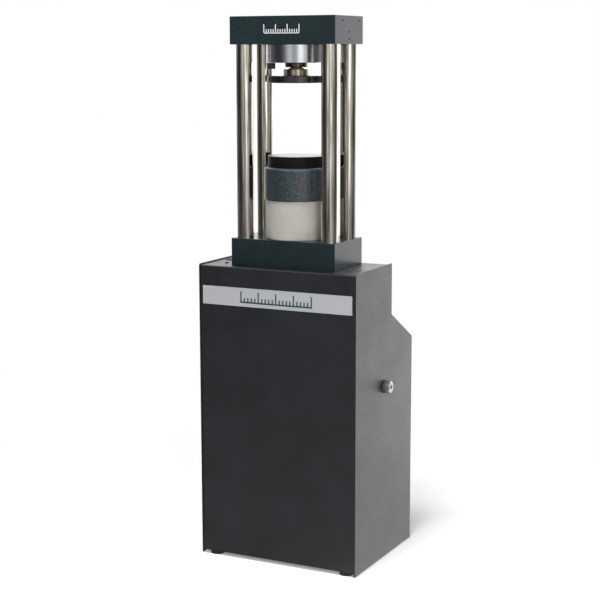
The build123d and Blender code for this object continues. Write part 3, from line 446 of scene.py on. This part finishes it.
def makeLowerPlaten(settings):
    # The rim is blackened and nearly swallows the light. The working face is ground bright, in lines from
    # side to side, so it mirrors the white.
    material, tree = newMaterial(settings["name"])
    mottle = addGrain(tree, settings["skinGrain"], detail=4.0)
    skin = toneAndRoughness(tree, mottle, settings["skin"])
    rim = addNode(tree, "ShaderNodeBsdfPrincipled", {**skin, "Specular IOR Level": settings["specular"]})
    lines = addGrain(tree, settings["groundGrain"], settings["groundStretch"], detail=3.0)
    ground = toneAndRoughness(tree, lines, settings["ground"])
    face = addNode(tree, "ShaderNodeBsdfPrincipled", {**ground, "Metallic": 1.0})
    place = addNode(tree, "ShaderNodeTexCoord")
    axes = addNode(tree, "ShaderNodeSeparateXYZ", {0: place.outputs["Object"]})
    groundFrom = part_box("lower_platen")[1][2] - settings["groundDepth"] * mm
    above = addNode(tree, "ShaderNodeMath", {0: axes.outputs["Z"], 1: groundFrom}, operation="GREATER_THAN")
    both = addNode(tree, "ShaderNodeMixShader", {0: above.outputs[0], 1: rim.outputs[0], 2: face.outputs[0]})
    addNode(tree, "ShaderNodeOutputMaterial", {"Surface": both.outputs[0]})
    return material


bandFilm = {
    "name": "brushed silver film", "dark": "#9fa1a3", "light": "#a7a9ac",
    "roughness": (0.40, 0.44), "grain": 0.8, "stretch": (60, 60, 1), "metallic": 0.3,
}


def makeBandFilm(settings):
    # Printed foil under a clear film, so only partly metal: pale and even, with faint level lines.
    material, tree = newMaterial(settings["name"])
    lines = addGrain(tree, settings["grain"], settings["stretch"], detail=3.0)
    look = {**toneAndRoughness(tree, lines, settings), "Metallic": settings["metallic"]}
    shader = addNode(tree, "ShaderNodeBsdfPrincipled", look)
    addNode(tree, "ShaderNodeOutputMaterial", {"Surface": shader.outputs[0]})
    return material


finishes = {slot: makePowderCoat(settings) for slot, settings in powderCoats.items()}
finishes.update({slot: makeTurnedMetal(settings) for slot, settings in turnedMetals.items()})
finishes.update({slot: makeDarkFinish(settings) for slot, settings in darkFinishes.items()})
finishes["lower_platen_steel"] = makeLowerPlaten(lowerPlatenFinish)
finishes["band_metal"] = makeBandFilm(bandFilm)

# Pieces whose look differs from that of their material slot.
ownFinish = {
    "ball_retaining_nut": "oiledSteel",
    "ball_stud": "greasedSteel",
    "stop_screw": "black_screws",
    "cover_screws": "zinc_steel",
    "inlet_washer": "fibreWasher",
}
slotOf = {part["node"]: part["material_slot"] for part in frame["record"]["subparts"]}
for name, node in nodes.items():
    for material in node.material_slots:
        material.material = finishes[ownFinish.get(name, slotOf[name])]
print("finishes:", len(finishes))

printedInks = {
    "petrolInk": {
        "name": "screen printed ink, petrol", "dark": "#263a42", "light": "#2c434c",
        "roughness": (0.5, 0.6), "grain": 1.5,
    },
    "whiteInk": {
        "name": "screen printed ink, white", "dark": "#c2c4c6", "light": "#d0d2d3",
        "roughness": (0.5, 0.6), "grain": 1.5,
    },
}


def makeInk(settings):
    # A thin matt print whose coverage is a little uneven.
    material, tree = newMaterial(settings["name"])
    look = toneAndRoughness(tree, addGrain(tree, settings["grain"]), settings)
    shader = addNode(tree, "ShaderNodeBsdfPrincipled", look)
    addNode(tree, "ShaderNodeOutputMaterial", {"Surface": shader.outputs[0]})
    return material


# Plain tick scales, printed on the band and on the top block. Each is centred on the front of a node, with
# its middle this far proud of it and its foot this far above the node's lower edge. Sizes are in millimetres.
tickScales = {
    "bandScale": {
        "ink": "petrolInk", "slot": "band_metal", "on": "front_band", "proud": 0.05, "above": 8.5,
        "Count": 21, "Pitch": 9.2, "Every": 5, "Width": 3.6,
        "Short": 13.0, "Long": 27.0, "Foot": 3.6, "Depth": 0.15,
    },
    "topBlockScale": {
        "ink": "whiteInk", "slot": "band_metal", "on": "top_block", "proud": 0.05, "above": 24.0,
        "Count": 16, "Pitch": 6.0, "Every": 5, "Width": 2.0,
        "Short": 10.0, "Long": 21.0, "Foot": 2.0, "Depth": 0.15,
    },
}
countNames = ("Count", "Every")
lengthNames = ("Pitch", "Width", "Short", "Long", "Foot", "Depth")


def buildTickTree():
    # Ticks stand on a foot line: every so many is long, the rest are short.
    tree = bpy.data.node_groups.new("tick scale", "GeometryNodeTree")
    face = tree.interface
    face.new_socket("Geometry", in_out="OUTPUT", socket_type="NodeSocketGeometry")
    for name in countNames:
        face.new_socket(name, in_out="INPUT", socket_type="NodeSocketInt")
    for name in lengthNames:
        face.new_socket(name, in_out="INPUT", socket_type="NodeSocketFloat")
    face.new_socket("Place", in_out="INPUT", socket_type="NodeSocketVector")
    face.new_socket("Ink", in_out="INPUT", socket_type="NodeSocketMaterial")
    given = addNode(tree, "NodeGroupInput").outputs

    # the row of points that the ticks stand on, centred on zero
    gaps = addNode(tree, "ShaderNodeMath", {0: given["Count"], 1: 1}, operation="SUBTRACT")
    run = addNode(tree, "ShaderNodeMath", {0: gaps.outputs[0], 1: given["Pitch"]}, operation="MULTIPLY")
    start = addNode(tree, "ShaderNodeMath", {0: run.outputs[0], 1: -0.5}, operation="MULTIPLY")
    startPoint = addNode(tree, "ShaderNodeCombineXYZ", {0: start.outputs[0]})
    offset = addNode(tree, "ShaderNodeCombineXYZ", {0: given["Pitch"]})
    row = {"Count": given["Count"], "Start Location": startPoint.outputs[0], "Offset": offset.outputs[0]}
    line = addNode(tree, "GeometryNodeMeshLine", row)

    # each tick is a unit block on the line, scaled to its width, depth and height
    index = addNode(tree, "GeometryNodeInputIndex")
    rest = addNode(tree, "ShaderNodeMath", {0: index.outputs[0], 1: given["Every"]}, operation="MODULO")
    short = addNode(tree, "ShaderNodeMath", {0: rest.outputs[0], 1: 0.5}, operation="GREATER_THAN")
    heights = {0: short.outputs[0], 1: given["Long"], 2: given["Short"]}
    tall = addNode(tree, "GeometryNodeSwitch", heights, input_type="FLOAT")
    size = addNode(tree, "ShaderNodeCombineXYZ", {0: given["Width"], 1: given["Depth"], 2: tall.outputs[0]})
    block = addNode(tree, "GeometryNodeMeshCube", {"Size": (1, 1, 1)})
    lifted = {"Geometry": block.outputs[0], "Translation": (0, 0, 0.5)}
    tick = addNode(tree, "GeometryNodeTransform", lifted)
    copies = {"Points": line.outputs[0], "Instance": tick.outputs[0], "Scale": size.outputs[0]}
    ticks = addNode(tree, "GeometryNodeInstanceOnPoints", copies)

    # the foot line runs under all of them, out to the end ticks' outer edges
    footRun = addNode(tree, "ShaderNodeMath", {0: run.outputs[0], 1: given["Width"]}, operation="ADD")
    footAxes = {0: footRun.outputs[0], 1: given["Depth"], 2: given["Foot"]}
    footSize = addNode(tree, "ShaderNodeCombineXYZ", footAxes)
    footShape = {"Geometry": tick.outputs[0], "Scale": footSize.outputs[0]}
    foot = addNode(tree, "GeometryNodeTransform", footShape)
    joined = addNode(tree, "GeometryNodeJoinGeometry", {0: ticks.outputs[0]})
    tree.links.new(foot.outputs[0], joined.inputs[0])

    moved = {"Geometry": joined.outputs[0], "Translation": given["Place"]}
    placed = addNode(tree, "GeometryNodeTransform", moved)
    real = addNode(tree, "GeometryNodeRealizeInstances", {0: placed.outputs[0]})
    coat = {"Geometry": real.outputs[0], "Material": given["Ink"]}
    inked = addNode(tree, "GeometryNodeSetMaterial", coat)
    addNode(tree, "NodeGroupOutput", {0: inked.outputs[0]})
    return tree


def makePlain(name, tree, values):
    # runs the tree on an empty piece and keeps what it makes as a plain mesh
    piece = bpy.data.objects.new(name, bpy.data.meshes.new(name))
    scene.collection.objects.link(piece)
    modifier = piece.modifiers.new("shape", "NODES")
    modifier.node_group = tree
    sockets = {item.name: item.identifier for item in tree.interface.items_tree if item.in_out == "INPUT"}
    for key, value in values.items():
        modifier[sockets[key]] = value
    made = piece.evaluated_get(bpy.context.evaluated_depsgraph_get())
    mesh = bpy.data.meshes.new_from_object(made)
    piece.modifiers.remove(modifier)
    piece.data = mesh
    return piece


tickTree = buildTickTree()
for name, settings in tickScales.items():
    lengths = {key: settings[key] * mm for key in lengthNames}
    counts = {key: settings[key] for key in countNames}
    low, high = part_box(settings["on"])
    place = ((low[0] + high[0]) / 2, low[1] - settings["proud"] * mm, low[2] + settings["above"] * mm)
    ink = makeInk(printedInks[settings["ink"]])
    scale = makePlain(name, tickTree, {**lengths, **counts, "Place": place, "Ink": ink})
    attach(scale, "frame")
print("tick scales:", len(tickScales))
